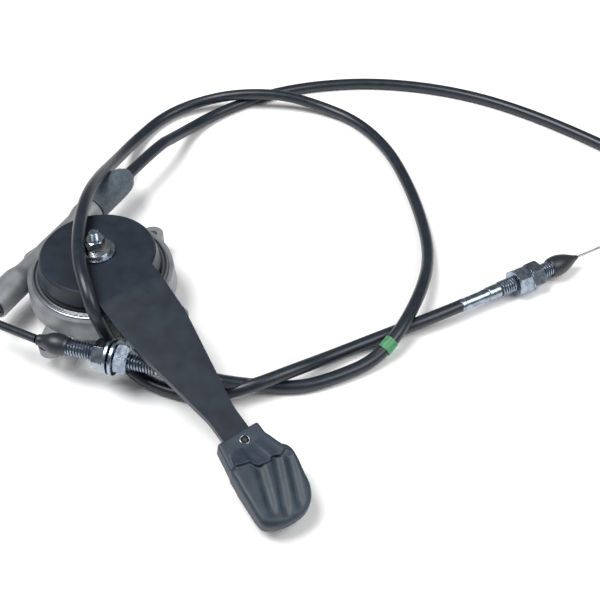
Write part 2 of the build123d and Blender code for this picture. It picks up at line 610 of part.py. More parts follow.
sleeve_end = SLEEVE_A_START_Y + SLEEVE_A_L
with BuildPart() as outlet_sleeve:
    with BuildSketch(Plane.XY.offset(DUCT_Z)):
        with BuildLine():
            Polyline((DUCT_X + NOSE_R + LOCATE, SLEEVE_A_START_Y), (DUCT_X + SLEEVE_A_R, SLEEVE_A_START_Y),
                     (DUCT_X + SLEEVE_A_R, sleeve_end - 14.0), (DUCT_X + SLEEVE_A_R - 1.4, sleeve_end - 6.0),
                     (DUCT_X + CONDUIT_R + 1.6, sleeve_end), (DUCT_X + CONDUIT_R + GAP, sleeve_end),
                     (DUCT_X + CONDUIT_R + GAP, OUTLET_TIP_Y + GAP),
                     (DUCT_X + NOSE_R + LOCATE, OUTLET_TIP_Y + GAP), close=True)
        make_face()
    revolve(axis=Axis((DUCT_X, 0, DUCT_Z), (0, 1, 0)))
save(outlet_sleeve, "outlet_sleeve")

tail_turn = radians(TAIL_ANGLE)
tail_way = Vector(-sin(tail_turn), cos(tail_turn), 0)
tail_plane = along(Vector(coil_x, coil_y, M10_R + 0.2) + Vector(*polar(COIL_TURN_R, TAIL_ANGLE), 0), tail_way)
leave = sqrt((COIL_TURN_R + COIL_HALF) ** 2 - (COIL_TURN_R - CONDUIT_R) ** 2)
with BuildPart() as conduit_a_tail:
    ring(tail_plane, leave, TAIL_L, CONDUIT_R, WIRE_BORE_R)
save(conduit_a_tail, "conduit_a_tail")

end_start = leave + TAIL_L
with BuildPart() as end_ferrule_a:
    ring(tail_plane, end_start, END_FERRULE_L, FERRULE_R, WIRE_BORE_R)
    ring(tail_plane, end_start + END_FERRULE_L - END_COLLAR_L, END_COLLAR_L, M10_R, WIRE_BORE_R)
save(end_ferrule_a, "end_ferrule_a")

wire_tip = end_start + END_FERRULE_L + END_WIRE_L
with BuildPart() as end_wire_a:
    ring(tail_plane, wire_tip - END_WIRE_L - WIRE_SEAT_L, END_WIRE_L + WIRE_SEAT_L, WIRE_R)
save(end_wire_a, "end_wire_a")

with BuildPart() as end_nipple_a:
    ring(tail_plane, wire_tip - END_NIPPLE_L, END_NIPPLE_L, END_NIPPLE_R, WIRE_R)
save(end_nipple_a, "end_nipple_a")


# ---- fittings of cable B -------------------------------------------------------------------------
def threaded_end(side, plane, ferrule_l, barrel_l, thread_l):
    """Crimped ferrule and threaded hub, bored for the inner wire."""
    with BuildPart() as ferrule:
        ring(plane, 0, ferrule_l, FERRULE_R, WIRE_BORE_R)
    save(ferrule, f"ferrule_b_{side}")
    with BuildPart() as hub:
        ring(plane, ferrule_l, barrel_l, BARREL_R, HUB_BORE_R)
        ring(plane, ferrule_l + barrel_l, thread_l, M10_R, HUB_BORE_R)
    save(hub, f"hub_b_{side}")
    return ferrule_l + barrel_l + thread_l


right_plane = along(Vector(*ROUTE_B[0]), RIGHT_END)
left_plane = along(Vector(*ROUTE_B[-1]), LEFT_END)
right_hub_end = threaded_end("right", right_plane, RIGHT_FERRULE_L, RIGHT_BARREL_L, RIGHT_THREAD_L)
left_hub_end = threaded_end("left", left_plane, LEFT_FERRULE_L, LEFT_BARREL_L, LEFT_THREAD_L)

with BuildPart() as nuts_b_right:
    hexagon(right_plane, RIGHT_NUT_AT, NUT10_BACK_T, NUT10_AF, M10_R)
    hexagon(right_plane, RIGHT_NUT_AT + NUT10_BACK_T + GAP, NUT10_T + 1, NUT10_AF, M10_R)
save(nuts_b_right, "nuts_b_right")

with BuildPart() as nuts_b_left:
    hexagon(left_plane, LEFT_NUTS_AT[0], NUT10_T, NUT10_AF, M10_R)
    hexagon(left_plane, LEFT_NUTS_AT[1], NUT10_T - 1, NUT10_AF, M10_R, 30.0)
save(nuts_b_left, "nuts_b_left")

with BuildPart() as washers_b_left:
    for start in LEFT_WASHERS_AT:
        ring(left_plane, start, WASHER10_T, WASHER10_R, M10_R + 0.25)
save(washers_b_left, "washers_b_left")


def boot(name, plane, outline):
    """Rubber boot, turned about a cable's axis from (radius, distance) points."""
    half = Plane(origin=plane.origin, x_dir=plane.x_dir, z_dir=plane.x_dir.cross(plane.z_dir))
    with BuildPart() as piece:
        with BuildSketch(half) as section:
            with BuildLine():
                Polyline(*outline, close=True)
            make_face()
        revolve(section.sketch, axis=Axis(plane.origin, plane.z_dir))
    save(piece, name)


right_tip = right_hub_end + RIGHT_BOOT_L
left_tip = left_hub_end + LEFT_BOOT_L
boot("boot_b_right", right_plane,
     [(M10_R, right_hub_end - BOOT_GRIP_L), (BOOT_R - 0.6, right_hub_end - BOOT_GRIP_L),
      (BOOT_R, right_hub_end + 1), (BOOT_R - 1.2, right_hub_end + 7), (3.4, right_hub_end + 14),
      (1.6, right_tip), (WIRE_BORE_R, right_tip), (WIRE_BORE_R, right_tip - 3), (3.6, right_hub_end + 6),
      (M10_R, right_hub_end + 0.4)])
boot("boot_b_left", left_plane,
     [(M10_R, left_hub_end - BOOT_GRIP_L), (BULB_R - 0.8, left_hub_end - BOOT_GRIP_L),
      (BULB_R, left_hub_end + 2), (BULB_R - 0.4, left_hub_end + 8), (GUIDE_R + 1.8, left_hub_end + 13),
      (GUIDE_R + 1.0, left_tip), (GUIDE_R + 0.1, left_tip), (GUIDE_R + 0.1, left_hub_end + 12),
      (M10_R, left_hub_end + 0.4)])

guide_plane = along(left_plane.origin + left_plane.z_dir * (left_tip + GAP), GUIDE_WAY)
with BuildPart() as guide_tube:
    ring(guide_plane, 0.0, GUIDE_L, GUIDE_R, WIRE_BORE_R)
save(guide_tube, "guide_tube")

with BuildPart() as wire_b_left:
    ring(guide_plane, 2.0, GUIDE_L + LEFT_WIRE_L, WIRE_R)
save(wire_b_left, "wire_b_left")

with BuildPart() as nipple_b_left:
    ring(guide_plane, GUIDE_L + LEFT_WIRE_L - 2, END_NIPPLE_L, END_NIPPLE_R, WIRE_R)
save(nipple_b_left, "nipple_b_left")

with BuildPart() as wire_b_right:
    ring(right_plane, right_hub_end - RIGHT_BOOT_L, 2 * RIGHT_BOOT_L + RIGHT_WIRE_L, WIRE_R)
save(wire_b_right, "wire_b_right")

with BuildPart() as nipple_b_right:
    ring(right_plane, right_tip + RIGHT_WIRE_L - BOOT_GRIP_L, END_NIPPLE_L, END_NIPPLE_R, WIRE_R)
save(nipple_b_right, "nipple_b_right")

# ---- identification sleeve on cable B ------------------------------------------------------------
mark_start = Vector(*ROUTE_B[MARK_RUN])
mark_way = Vector(*ROUTE_B[MARK_RUN - 1]) - mark_start
with BuildPart() as mark_sleeve:
    ring(along(mark_start, mark_way), (mark_way.length - MARK_L) / 2, MARK_L, MARK_R, MARK_BORE_R)
save(mark_sleeve, "mark_sleeve")
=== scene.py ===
# %% [markdown]
# # A hand throttle lever with two control cables
# The control is a cast housing with a friction hub on top, a pressed lever with a moulded thumb grip,
# one cable that leaves the housing through a duct, and a second, loose cable with threaded ends.
# The frame of the model is loaded first. Every piece made here sits where that frame has it.

# %% Load the frame
from math import cos, pi, radians, sin

import bmesh
import bpy
import json
import numpy as np
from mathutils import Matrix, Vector


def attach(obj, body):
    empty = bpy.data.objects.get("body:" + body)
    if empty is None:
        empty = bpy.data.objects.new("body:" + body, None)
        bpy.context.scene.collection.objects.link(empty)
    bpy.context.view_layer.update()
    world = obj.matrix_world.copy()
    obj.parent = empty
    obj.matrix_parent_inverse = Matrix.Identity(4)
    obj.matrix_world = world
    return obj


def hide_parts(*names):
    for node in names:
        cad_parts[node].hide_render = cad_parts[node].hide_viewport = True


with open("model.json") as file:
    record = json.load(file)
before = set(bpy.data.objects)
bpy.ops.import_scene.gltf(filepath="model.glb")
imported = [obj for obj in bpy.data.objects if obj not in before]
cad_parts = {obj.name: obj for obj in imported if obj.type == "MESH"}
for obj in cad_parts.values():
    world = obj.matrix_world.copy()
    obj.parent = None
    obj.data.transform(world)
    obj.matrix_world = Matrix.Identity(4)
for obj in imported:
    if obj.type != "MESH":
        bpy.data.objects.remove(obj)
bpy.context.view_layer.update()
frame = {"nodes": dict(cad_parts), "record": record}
MM = 0.001
print("nodes in the frame:", len(frame["nodes"]))

# %% [markdown]
# ## Camera
# A product shot of a cable assembly is taken from high up, so that the cables' lay can be read.
# The camera looks down by 46 degrees and comes from 28 degrees to the side of the duct's own direction.

# %% Camera
lens = bpy.data.cameras.new("camera")
lens.lens = 60.0
bpy.context.scene.view_settings.view_transform = "Standard"
camera = bpy.data.objects.new("camera", lens)
camera.location = (0.3126, -0.3290, 0.4580)
camera.rotation_euler = (radians(44.0), 0.0, radians(28.0))
bpy.context.collection.objects.link(camera)
bpy.context.scene.camera = camera

# %% [markdown]
# ## Small helpers
# Colours are written as the hex values that a colour picker shows, and one function turns them to the
# linear values that the shader works in. One more function adds a shader node with its settings and
# links, so that each material reads as a short list.


# %% Colours and nodes
def linear(hex_colour, alpha=1.0):
    """Turn an sRGB hex value such as #808080 to linear RGBA."""
    parts = [int(hex_colour[place:place + 2], 16) / 255 for place in (1, 3, 5)]
    return tuple(c / 12.92 if c < 0.04045 else ((c + 0.055) / 1.055) ** 2.4 for c in parts) + (alpha,)


def add_node(tree, kind, settings=None, inputs=None):
    """Add one shader node, set it up, and fill or link its inputs."""
    new = tree.nodes.new(kind)
    for name, value in (settings or {}).items():
        setattr(new, name, value)
    for name, value in (inputs or {}).items():
        if isinstance(value, bpy.types.NodeSocket):
            tree.links.new(value, new.inputs[name])
        else:
            new.inputs[name].default_value = value
    return new


def new_material(name):
    """A material with only a Principled shader, and that shader."""
    material = bpy.data.materials.new(name)
    material.use_nodes = True
    tree = material.node_tree
    tree.nodes.clear()
    shader = add_node(tree, "ShaderNodeBsdfPrincipled")
    add_node(tree, "ShaderNodeOutputMaterial", inputs={"Surface": shader.outputs["BSDF"]})
    return material, tree, shader


def spots(tree, size_mm, detail=3.0, stretch=(1, 1, 1)):
    """Noise whose blobs are about this many millimetres across, in the object's own coordinates."""
    place = add_node(tree, "ShaderNodeTexCoord")
    scaled = add_node(tree, "ShaderNodeMapping", inputs={"Vector": place.outputs["Object"], "Scale": stretch})
    return add_node(tree, "ShaderNodeTexNoise",
                    inputs={"Vector": scaled.outputs["Vector"], "Scale": 1 / (size_mm * MM), "Detail": detail})


def two_tone(tree, factor, dark, light, low=0.35, high=0.65):
    """Blend two colours by a pattern."""
    ramp = add_node(tree, "ShaderNodeValToRGB", inputs={"Fac": factor})
    ramp.color_ramp.elements[0].position = low
    ramp.color_ramp.elements[0].color = linear(dark)
    ramp.color_ramp.elements[1].position = high
    ramp.color_ramp.elements[1].color = linear(light)
    return ramp.outputs["Color"]


def relief(tree, shader, height, depth_mm, strength=1.0):
    """Feed a height pattern to the shader as a bump of that depth."""
    bump = add_node(tree, "ShaderNodeBump", inputs={"Height": height, "Distance": depth_mm * MM,
                                                    "Strength": strength})
    tree.links.new(bump.outputs["Normal"], shader.inputs["Normal"])


def spread(tree, factor, low, high):
    """Map a pattern from 0..1 to another range."""
    return add_node(tree, "ShaderNodeMapRange",
                    inputs={"Value": factor, "To Min": low, "To Max": high}).outputs["Result"]


# %% [markdown]
# ## Materials
# Each material is named for the real stuff and for how its surface was made.
# The housing is die-cast aluminium, tumbled and left bare, so it is grey, a little rough and uneven.

# %% Die-cast aluminium, tumbled
cast_aluminium, tree, shader = new_material("die_cast_aluminium_tumbled")
grain = spots(tree, 0.9, 4.0)
cloud = spots(tree, 14.0, 2.0)
tree.links.new(two_tone(tree, cloud.outputs["Fac"], "#7d8083", "#979a9d"), shader.inputs["Base Color"])
tree.links.new(spread(tree, grain.outputs["Fac"], 0.38, 0.62), shader.inputs["Roughness"])
shader.inputs["Metallic"].default_value = 0.65
relief(tree, shader, grain.outputs["Fac"], 0.12, 0.6)

# %% [markdown]
# The friction ring and the drum are turned on a lathe. The tool leaves fine rings about the axis. Their bright
# and dark lines are painted into the colour as painted highlights. The real pitch of 0.1 mm is too fine to show,
# so 2.2 mm is drawn.

# %% Turned steel, with the tool's rings
turned_steel, tree, shader = new_material("turned_steel_painted_ring_highlights")
place = add_node(tree, "ShaderNodeTexCoord")
rings = add_node(tree, "ShaderNodeTexWave", {"wave_type": "RINGS", "rings_direction": "Z"},
                 {"Vector": place.outputs["Object"], "Scale": 2 * pi / 20 / (2.2 * MM), "Distortion": 0.0})
# painted highlight: the colour alternates light and dark along the tool's rings
tree.links.new(two_tone(tree, rings.outputs["Fac"], "#72787d", "#a4a9ae", 0.2, 0.8), shader.inputs["Base Color"])
tree.links.new(spread(tree, rings.outputs["Fac"], 0.24, 0.34), shader.inputs["Roughness"])
shader.inputs["Metallic"].default_value = 1.0

# %% [markdown]
# The lever is pressed steel with black stove enamel. Sprayed enamel is never quite flat: it has a fine
# orange peel, with waves about 1.5 mm apart, that breaks up the reflections.

# %% Black stove enamel, sprayed
black_enamel, tree, shader = new_material("black_stove_enamel_sprayed")
peel = spots(tree, 1.5, 2.0)
wear = spots(tree, 9.0, 5.0)
tree.links.new(two_tone(tree, wear.outputs["Fac"], "#101a25", "#17222e"), shader.inputs["Base Color"])
tree.links.new(spread(tree, wear.outputs["Fac"], 0.34, 0.48), shader.inputs["Roughness"])
shader.inputs["IOR"].default_value = 1.5
relief(tree, shader, peel.outputs["Fac"], 0.04, 0.5)

# %% [markdown]
# The thumb grip is moulded in a hard black rubber. It scatters light more than the enamel, so it looks
# greyer, and handling leaves it uneven.

# %% Black rubber, moulded and handled
grip_rubber, tree, shader = new_material("black_rubber_moulded_handled")
pores = spots(tree, 0.7, 3.0)
handled = spots(tree, 7.0, 3.0)
tree.links.new(two_tone(tree, handled.outputs["Fac"], "#1a2733", "#243240"), shader.inputs["Base Color"])
tree.links.new(spread(tree, handled.outputs["Fac"], 0.45, 0.62), shader.inputs["Roughness"])
shader.inputs["IOR"].default_value = 1.52
relief(tree, shader, pores.outputs["Fac"], 0.05, 0.6)

# %% Grey rubber, for the outlet sleeve
grey_rubber, tree, shader = new_material("grey_rubber_moulded")
dust = spots(tree, 2.2, 4.0)
tree.links.new(two_tone(tree, dust.outputs["Fac"], "#3d4852", "#505c66"), shader.inputs["Base Color"])
shader.inputs["Roughness"].default_value = 0.55
shader.inputs["IOR"].default_value = 1.52
relief(tree, shader, dust.outputs["Fac"], 0.05, 0.5)

# %% Black rubber, soft boots and plugs
boot_rubber, tree, shader = new_material("black_rubber_soft")
pores = spots(tree, 0.8, 3.0)
tree.links.new(two_tone(tree, pores.outputs["Fac"], "#181d22", "#20262c"), shader.inputs["Base Color"])
shader.inputs["Roughness"].default_value = 0.42
shader.inputs["IOR"].default_value = 1.52
relief(tree, shader, pores.outputs["Fac"], 0.04, 0.5)

# %% [markdown]
# The conduit's skin is black PVC, extruded over a steel spiral. The skin is smooth and a little shiny,
# with a faint haze and fine unevenness, so that its long highlight isn't perfectly even.

# %% Black PVC, extruded
conduit_pvc, tree, shader = new_material("black_pvc_extruded")
haze = spots(tree, 5.0, 3.0)
tree.links.new(two_tone(tree, haze.outputs["Fac"], "#141c25", "#1b242e"), shader.inputs["Base Color"])
tree.links.new(spread(tree, haze.outputs["Fac"], 0.3, 0.4), shader.inputs["Roughness"])
shader.inputs["IOR"].default_value = 1.5
fine = spots(tree, 1.2, 2.0)
relief(tree, shader, fine.outputs["Fac"], 0.03, 0.4)

# %% [markdown]
# Nuts, washers and threads are steel with zinc plating and a clear blue passivation. Used zinc is grey
# with a cold tint, smooth but not polished. The roots of the threads are coloured dark as painted shade.

# %% Zinc plating, blue passivated
zinc_plate, tree, shader = new_material("zinc_plated_steel_blue")
cloud = spots(tree, 3.0, 4.0)
tree.links.new(two_tone(tree, cloud.outputs["Fac"], "#7f8b9a", "#a3aebb"), shader.inputs["Base Color"])
tree.links.new(spread(tree, cloud.outputs["Fac"], 0.2, 0.32), shader.inputs["Roughness"])
shader.inputs["Metallic"].default_value = 1.0
scratch = spots(tree, 0.5, 2.0, (1, 1, 0.2))
relief(tree, shader, scratch.outputs["Fac"], 0.006, 0.3)

# %% Painted shade in the thread's roots
painted_root_shade, tree, shader = new_material("zinc_plated_steel_painted_root_shade")
root_shade_mottle = spots(tree, 1.2, 3.0)
# painted shade: the thread's roots are coloured dark to stand in for the shade in the grooves
tree.links.new(two_tone(tree, root_shade_mottle.outputs["Fac"], "#2b3440", "#465261"), shader.inputs["Base Color"])
shader.inputs["Metallic"].default_value = 0.5
shader.inputs["Roughness"].default_value = 0.5

# %% Spring steel, ground and polished
spring_steel, tree, shader = new_material("spring_steel_polished")
cloud = spots(tree, 4.0, 3.0)
tree.links.new(two_tone(tree, cloud.outputs["Fac"], "#a4a9ae", "#cdd1d4"), shader.inputs["Base Color"])
shader.inputs["Metallic"].default_value = 1.0
shader.inputs["Roughness"].default_value = 0.2
relief(tree, shader, cloud.outputs["Fac"], 0.02, 0.3)

# %% Black oxide, on the socket screw
black_oxide, tree, shader = new_material("black_oxide_steel")
cloud = spots(tree, 2.0, 3.0)
tree.links.new(two_tone(tree, cloud.outputs["Fac"], "#16181a", "#24282b"), shader.inputs["Base Color"])
shader.inputs["Metallic"].default_value = 0.7
shader.inputs["Roughness"].default_value = 0.45

# %% [markdown]
# The inner wire is a stranded steel rope, 1.5 mm thick. Its strands lie in a spiral, which a wave
# pattern at a slant draws as a bump and also paints as painted highlights on the crests and painted shade between
# them.

# %% Steel rope, stranded
wire_rope, tree, shader = new_material("steel_rope_stranded")
place = add_node(tree, "ShaderNodeTexCoord")
lay_and_painted_glints = add_node(tree, "ShaderNodeTexWave", {"bands_direction": "DIAGONAL"},
               {"Vector": place.outputs["Object"], "Scale": 2 * pi / 20 / (0.8 * MM)})
# painted highlight and painted shade: the strands' crests are coloured light and the grooves between them dark
tree.links.new(two_tone(tree, lay_and_painted_glints.outputs["Fac"], "#7c7f82", "#c9ccce", 0.2, 0.8), shader.inputs["Base Color"])
shader.inputs["Metallic"].default_value = 1.0
shader.inputs["Roughness"].default_value = 0.34
relief(tree, shader, lay_and_painted_glints.outputs["Fac"], 0.1, 0.8)

# %% Zinc alloy, cast nipples
zinc_alloy, tree, shader = new_material("zinc_alloy_cast")
cloud = spots(tree, 1.2, 3.0)
tree.links.new(two_tone(tree, cloud.outputs["Fac"], "#8d9092", "#b4b7b9"), shader.inputs["Base Color"])
shader.inputs["Metallic"].default_value = 0.9
shader.inputs["Roughness"].default_value = 0.45
relief(tree, shader, cloud.outputs["Fac"], 0.06, 0.5)

# %% Sintered bronze, for the bush
bronze, tree, shader = new_material("sintered_bronze")
cloud = spots(tree, 0.8, 3.0)
tree.links.new(two_tone(tree, cloud.outputs["Fac"], "#8a6a3c", "#b08a50"), shader.inputs["Base Color"])
shader.inputs["Metallic"].default_value = 1.0
shader.inputs["Roughness"].default_value = 0.4

# %% Friction lining, pressed fibre and resin
friction_fibre, tree, shader = new_material("friction_lining_pressed")
chips = spots(tree, 1.0, 5.0)
tree.links.new(two_tone(tree, chips.outputs["Fac"], "#1a1817", "#37322d", 0.4, 0.7), shader.inputs["Base Color"])
shader.inputs["Roughness"].default_value = 0.85
relief(tree, shader, chips.outputs["Fac"], 0.1, 0.7)

# %% Green identification sleeve, shrunk plastic
green_sleeve, tree, shader = new_material("green_polyolefin_shrunk")
cloud = spots(tree, 2.5, 3.0)
tree.links.new(two_tone(tree, cloud.outputs["Fac"], "#37784e", "#478a5f"), shader.inputs["Base Color"])
shader.inputs["Roughness"].default_value = 0.38
relief(tree, shader, cloud.outputs["Fac"], 0.05, 0.5)

# %% [markdown]
# ## Dressing the frame's own nodes
# Every node of the frame first gets the material of its finish. Nodes whose shape is right stay as they
# are. The others are replaced further down by pieces with rounded edges, threads and moulded detail.

# %% Materials for every node
FINISH = {
    "cast_aluminium": cast_aluminium, "machined_steel": turned_steel, "black_paint": black_enamel,
    "grip_rubber": grip_rubber, "zinc_plate": zinc_plate, "spring_steel": spring_steel,
    "black_oxide": black_oxide, "black_rubber": boot_rubber, "conduit_pvc": conduit_pvc,
    "green_sleeve": green_sleeve, "grey_rubber": grey_rubber, "wire_rope": wire_rope,
    "zinc_alloy": zinc_alloy, "bronze": bronze, "friction_lining": friction_fibre,
}
slot_of = {entry["node"]: entry["material_slot"] for entry in frame["record"]["subparts"]}
body_of = {node: body for body, nodes in frame["record"]["behaviour"]["bodies"].items() for node in nodes}
for name, node in frame["nodes"].items():
    for slot in node.material_slots:
        slot.material = FINISH[slot_of[name]]


def place_piece(piece, node, *more_nodes, hide=True):
    """Dress a new piece as a node is dressed, let it ride on that node's body and stand for it."""
    piece.data.materials.clear()
    piece.data.materials.append(FINISH[slot_of[node]])
    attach(piece, body_of[node])
    if hide:
        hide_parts(node, *more_nodes)
    return piece


# %% [markdown]
# ## The cables
# Both cables are 8 mm conduit with an inner wire. Conduit is stiff, so it lies in wide, smooth curves
# and lifts a little where it passes over itself. A NURBS curve of third order through a cage of control
# points gives just that: it has no corners, and it can't wobble between its points.
# The end of the first cable is tied up in a round coil, with its turns side by side and on each other.

# %% Cable routes, in metres
CONDUIT_D = 8.0 * MM
ROUTE_A = [(-45.5, 70.0, 23.0), (-45.5, 128.0, 23.0), (-47.6, 152.0, 14.5), (-49.5, 174.0, 6.8),
           (-46.0, 197.0, 4.0), (-36.0, 220.0, 4.0), (-20.0, 246.5, 4.0), (6.0, 273.0, 4.0),
           (42.0, 297.0, 4.0), (84.0, 312.5, 4.0), (127.8, 319.3, 4.0), (171.2, 316.8, 4.0),
           (213.2, 309.0, 4.0), (250.0, 299.3, 4.0), (279.0, 292.0, 4.1)]
ROUTE_B = [(199.2, 95.6, 9.3), (186.0, 75.6, 9.3), (165.0, 53.5, 4.4), (145.7, 24.2, 5.5),
           (134.2, -1.1, 12.9), (117.5, -24.5, 12.9), (95.0, -37.6, 4.6), (75.0, -42.4, 4.2),
           (58.5, -43.0, 4.6), (44.5, -41.0, 7.8), (34.6, -39.4, 18.0), (30.2, -39.2, 31.0),
           (26.6, -40.6, 46.6), (16.8, -32.6, 55.8), (2.8, -19.9, 57.5), (-13.4, 1.6, 56.8),
           (-31.0, 31.5, 53.0), (-48.0, 64.7, 39.0), (-66.5, 105.5, 17.5), (-78.8, 146.1, 4.5),
           (-77.1, 183.3, 4.2), (-59.6, 207.9, 8.0), (-35.1, 223.7, 13.0), (-4.6, 238.8, 13.0),
           (24.7, 247.6, 6.5), (56.0, 246.1, 4.0), (90.1, 226.8, 4.0), (119.4, 197.1, 4.0),
           (144.4, 165.1, 4.0), (163.5, 132.3, 6.5), (173.8, 97.0, 13.2), (176.6, 56.5, 13.2),
           (170.0, 33.8, 5.0), (156.7, 14.2, 4.0), (141.2, -3.6, 4.0), (121.5, -14.0, 5.2),
           (109.0, -26.5, 14.0), (97.4, -37.7, 23.9), (81.8, -41.4, 24.5)]
COIL_CENTRE = Vector((297.2, 337.0, 0.0))
COIL_IN = -103.3        # degrees about the coil's centre, where the cable comes in
COIL_OUT = 28.0         # and where it goes out, after three turns and a bit
COIL_STEP = 28.0        # degrees between control points, 12 or more in a turn
COIL_R = 48.0           # middle of the turns

# %% The coil's turns
# Angle, radius and height of the winding. It starts inside on the floor, rises over the cable that
# comes in, goes round outside on the floor, rises again and lies inside on top.
WINDING = [(COIL_IN, COIL_R, 4.1), (-50.0, 44.2, 4.1), (195.0, 44.2, 4.1), (247.0, 49.0, 12.4),
           (270.0, 51.5, 12.4), (330.0, 52.2, 4.2), (550.0, 52.2, 4.2), (607.0, 49.0, 12.4),
           (640.0, 44.2, 12.4), (900.0, 44.2, 12.4), (980.0, 52.0, 12.4), (1108.0, 50.0, 12.4)]
turned, out_to, up_to = zip(*WINDING)
angles = np.arange(COIL_IN + COIL_STEP, turned[-1], COIL_STEP)
radii = np.interp(angles, turned, out_to) / cos(radians(COIL_STEP / 2))
heights = np.interp(angles, turned, up_to)
coil_points = [tuple(COIL_CENTRE + Vector((r * cos(radians(a)), r * sin(radians(a)), h)))
               for a, r, h in zip(angles, radii, heights)]
out_way = Vector((-sin(radians(COIL_OUT)), cos(radians(COIL_OUT)), 0.0))
out_point = COIL_CENTRE + COIL_R * Vector((cos(radians(COIL_OUT)), sin(radians(COIL_OUT)), 0.0))
tail_points = [tuple(out_point + out_way * run + Vector((0, 0, height)))
               for run, height in ((4.0, 12.4), (18.0, 12.2), (34.0, 6.4), (45.0, 5.2), (53.0, 5.2))]
print("control points in the coil:", len(coil_points))


# %% Cable curves
def cable(name, points, material_node):
    """A round conduit along a NURBS curve of third order."""
    data = bpy.data.curves.new(name, "CURVE")
    data.dimensions = "3D"
    data.bevel_depth = CONDUIT_D / 2
    data.bevel_resolution = 6
    data.resolution_u = 10
    data.use_fill_caps = True
    spline = data.splines.new("NURBS")
    spline.points.add(len(points) - 1)
    for control, point in zip(spline.points, points):
        control.co = (point[0] * MM, point[1] * MM, point[2] * MM, 1.0)
    spline.order_u = 3
    spline.use_endpoint_u = True
    piece = bpy.data.objects.new(name, data)
    bpy.context.collection.objects.link(piece)
    return place_piece(piece, material_node, hide=False)


cable_a = cable("cable_a", ROUTE_A + coil_points + tail_points, "conduit_a")
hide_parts("conduit_a", "coil_a", "conduit_a_tail")
cable_b = cable("cable_b", ROUTE_B, "conduit_b")
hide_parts("conduit_b")

# %% [markdown]
# ## Turned and threaded pieces
# Most fittings are turned on a lathe, so they are an outline spun about an axis. A thread is the same
# with one change: its radius also depends on the angle, so that the groove climbs as it goes round.


# %% Lathe and thread
def mesh_piece(name, points, faces):
    """Make a mesh object from points in millimetres."""
    data = bpy.data.meshes.new(name)
    data.from_pydata([Vector(point) * MM for point in points], [], faces)
    shape = bmesh.new()
    shape.from_mesh(data)
    bmesh.ops.remove_doubles(shape, verts=shape.verts, dist=0.0005 * MM)
    bmesh.ops.recalc_face_normals(shape, faces=shape.faces)
    shape.to_mesh(data)
    shape.free()
    data.shade_smooth()
    piece = bpy.data.objects.new(name, data)
    bpy.context.collection.objects.link(piece)
    return piece


def axes(way):
    """Two directions square to a way, and the way itself."""
    way = Vector(way).normalized()
    side = way.orthogonal().normalized()
    return side, way.cross(side).normalized(), way


def spun(name, origin, way, radius_at, stations, around=48, turned_by=0.0):
    """Spin rings about an axis. radius_at gives the radius for a station and an angle."""
    side, other, way = axes(way)
    origin = Vector(origin)
    points, faces = [], []
    for number, station in enumerate(stations):
        for step in range(around):
            angle = 2 * pi * step / around
            radius, distance = radius_at(number, station, angle)
            points.append(origin + (side * cos(angle + turned_by) + other * sin(angle + turned_by)) * radius
                          + way * distance)
    for number in range(len(stations) - 1):
        for step in range(around):
            after = (step + 1) % around
            faces.append((number * around + step, number * around + after,
                          (number + 1) * around + after, (number + 1) * around + step))
    return mesh_piece(name, points, faces)


def lathe(name, origin, way, outline, round_mm=0.3, around=64):
    """A turned piece: a closed outline of (radius, distance), with rounded edges."""
    rows = list(outline) + [outline[0]]
    piece = spun(name, origin, way, lambda number, station, angle: station, rows, around)
    edge = piece.modifiers.new("rounded edges", "BEVEL")
    edge.width = round_mm * MM
    edge.segments = 3
    edge.limit_method = "ANGLE"
    edge.angle_limit = radians(25)
    edge.harden_normals = True
    return piece


def threaded(name, origin, way, start, length, radius, pitch, bore):
    """A tube with a V thread outside, 0.6 of the pitch deep, chamfered at both ends."""
    depth = 0.6 * pitch
    stations = list(np.linspace(0.0, length, int(length / pitch * 6) + 1))
    rows = [(bore, 0.0)] + [(None, value) for value in stations] + [(bore, length), (bore, 0.0)]

    def radius_at(number, row, angle):
        if row[0] is not None:
            return row[0], start + row[1]
        place = (row[1] / pitch - angle / (2 * pi)) % 1.0
        groove = depth * (1 - abs(2 * place - 1)) ** 1.2
        crest = radius - max(0.0, depth - min(row[1], length - row[1]) * 0.9)
        return min(crest, radius - groove), start + row[1]

    piece = spun(name, origin, way, radius_at, rows, 40)
    piece.data.shade_flat()
    return piece


def paint_root_shade(piece, origin, way, root):
    """Colour the faces of a thread that lie nearer to its axis than this radius dark, as painted shade."""
    piece.data.materials.append(painted_root_shade)
    for face in piece.data.polygons:
        away = face.center / MM - origin
        # painted shade: faces near the axis take the dark root material
        if (away - way * away.dot(way)).length < root:
            face.material_index = 1


def hex_nut(name, origin, way, start, length, across, bore, turned_by=0.0):
    """A hexagon nut with the curved chamfers that turning leaves on its corners."""
    flat = across / 2
    ring_r = flat * 0.985
    rows = ["bore in", "edge in", "side in", "side out", "edge out", "bore out", "bore in"]

    def radius_at(number, row, angle):
        corner = flat / cos((angle + pi / 6) % (pi / 3) - pi / 6)
        drop = max(0.0, corner - ring_r) * 0.62
        return {"bore in": (bore, start), "edge in": (ring_r, start), "side in": (corner, start + drop),
                "side out": (corner, start + length - drop), "edge out": (ring_r, start + length),
                "bore out": (bore, start + length)}[row]

    piece = spun(name, origin, way, radius_at, rows, 72, turned_by)
    piece.data.shade_flat()
    edge = piece.modifiers.new("rounded edges", "BEVEL")
    edge.width = 0.25 * MM
    edge.segments = 2
    edge.limit_method = "ANGLE"
    edge.angle_limit = radians(22)
    edge.harden_normals = True
    return piece


# %% [markdown]
# ## Threaded cable ends
# Each end of the loose cable has a crimped ferrule and a threaded hub with two nuts, and a rubber boot
# that keeps water out. The hub goes through a slotted bracket, and the nuts clamp it on both sides.

